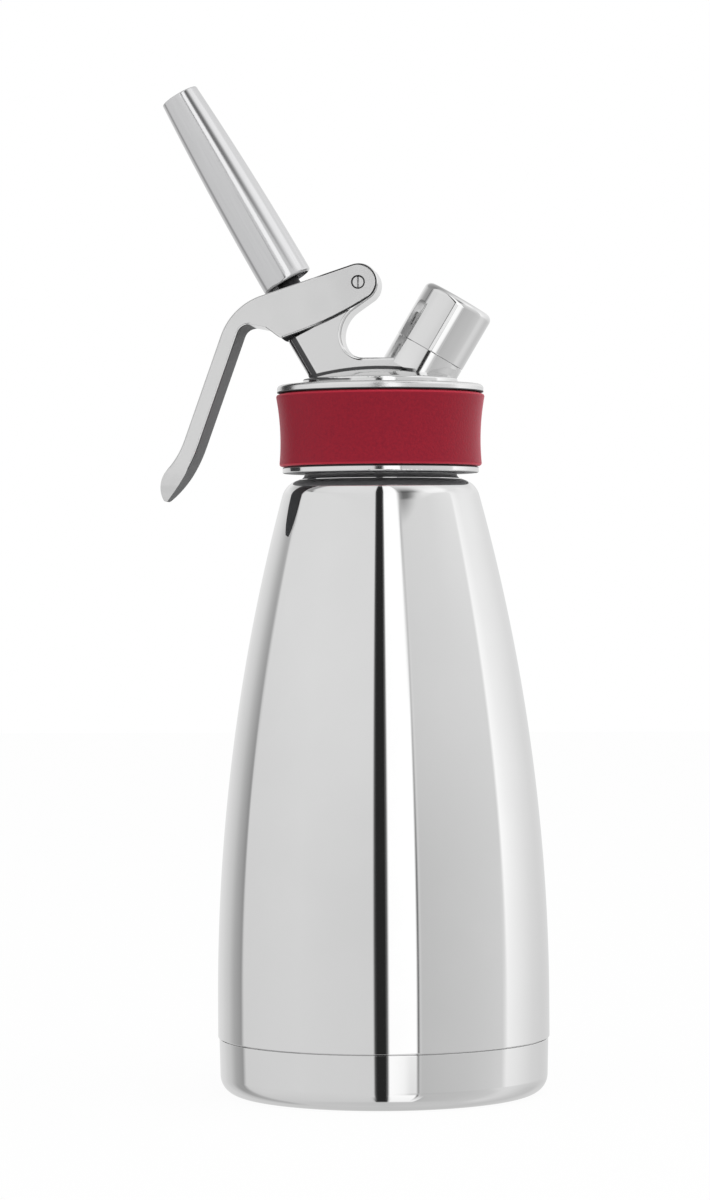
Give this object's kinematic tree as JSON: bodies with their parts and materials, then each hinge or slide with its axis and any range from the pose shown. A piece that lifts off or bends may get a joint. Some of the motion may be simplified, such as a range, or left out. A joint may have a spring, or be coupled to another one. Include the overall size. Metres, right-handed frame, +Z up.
{
  "type": "cream whipper",
  "caption": "Double-walled steel cream whipper with a screw-on head, red silicone grip collar, side lever, long plain decorator nozzle and a capped gas charger port.",
  "frame": {"origin": "centre of the flat foot, on the bottle's axis", "axes": "+Z up along the bottle, the nozzle and lever towards -X, the charger port towards +X"},
  "size_m": [0.1222, 0.1054, 0.3209],
  "materials": {
    "polished_steel": "mirror polished",
    "polished_cast_steel": "polished casting",
    "satin_steel": "satin",
    "spring_steel": "drawn wire",
    "brass": "turned",
    "red_silicone": "matte moulded",
    "white_silicone": "matte moulded",
    "black_rubber": "matte moulded"
  },
  "bodies": {
    "bottle": {"outer_shell": "polished_steel", "inner_flask": "satin_steel", "neck_ring": "satin_steel", "vacuum_plate": "satin_steel", "vacuum_seal": "satin_steel", "base_cup": "polished_steel"},
    "gasket": {"head_gasket": "red_silicone"},
    "head": {"head_body": "polished_cast_steel", "grip_collar": "red_silicone", "hinge_pin": "satin_steel", "stem_oring": "black_rubber", "valve_spring": "spring_steel", "piercing_pin": "satin_steel", "piercer_nut": "brass", "piercer_gasket": "white_silicone", "check_valve": "black_rubber"},
    "lever": {"lever": "polished_cast_steel"},
    "valve": {"valve_stem": "satin_steel", "valve_seal": "black_rubber", "stem_collar": "satin_steel", "tip_adapter": "satin_steel"},
    "tip_ring": {"tip_oring": "black_rubber"},
    "tip": {"nozzle_tip": "satin_steel"},
    "cap_seal": {"cap_liner": "white_silicone"},
    "cap": {"port_cap": "polished_steel"}
  },
  "joints": [
    {"name": "head_rise", "type": "slide", "parent": "bottle", "child": "gasket", "axis": [0, 0, 1], "range_m": [0, 0.01401]},
    {"name": "head_turn", "type": "hinge", "parent": "gasket", "child": "head", "pos_m": [0, 0, 0.2135], "axis": [0, 0, 1], "range_deg": [0, 1260]},
    {"name": "lever_squeeze", "type": "hinge", "parent": "head", "child": "lever", "pos_m": [-0.006, 0, 0.257], "axis": [0, -1, 0], "range_deg": [0, 11.4], "stiffness_Nm_per_rad": 2, "springref_deg": -11.46},
    {"name": "valve_slide", "type": "slide", "parent": "head", "child": "valve", "axis": [0.5, 0, -0.866], "range_m": [0, 0.00392], "deforming": ["valve_spring"]},
    {"name": "tip_rise", "type": "slide", "parent": "valve", "child": "tip_ring", "axis": [-0.5, 0, 0.866], "range_m": [0, 0.01051]},
    {"name": "tip_turn", "type": "hinge", "parent": "tip_ring", "child": "tip", "pos_m": [0, 0, 0.2073], "axis": [-0.5, 0, 0.866], "range_deg": [0, 2520]},
    {"name": "cap_rise", "type": "slide", "parent": "head", "child": "cap_seal", "axis": [0.5113, 0, 0.8594], "range_m": [0, 0.01201]},
    {"name": "cap_turn", "type": "hinge", "parent": "cap_seal", "child": "cap", "pos_m": [0, 0, 0.2087], "axis": [0.5113, 0, 0.8594], "range_deg": [0, 2160]}
  ],
  "couplings": [
    {"joint": "head_rise", "follows": "head_turn", "m_per_rad": 0.00063662},
    {"joint": "valve_slide", "follows": "lever_squeeze", "m_per_rad": 0.019654},
    {"joint": "tip_rise", "follows": "tip_turn", "m_per_rad": 0.00023873},
    {"joint": "cap_rise", "follows": "cap_turn", "m_per_rad": 0.00031831}
  ]
}
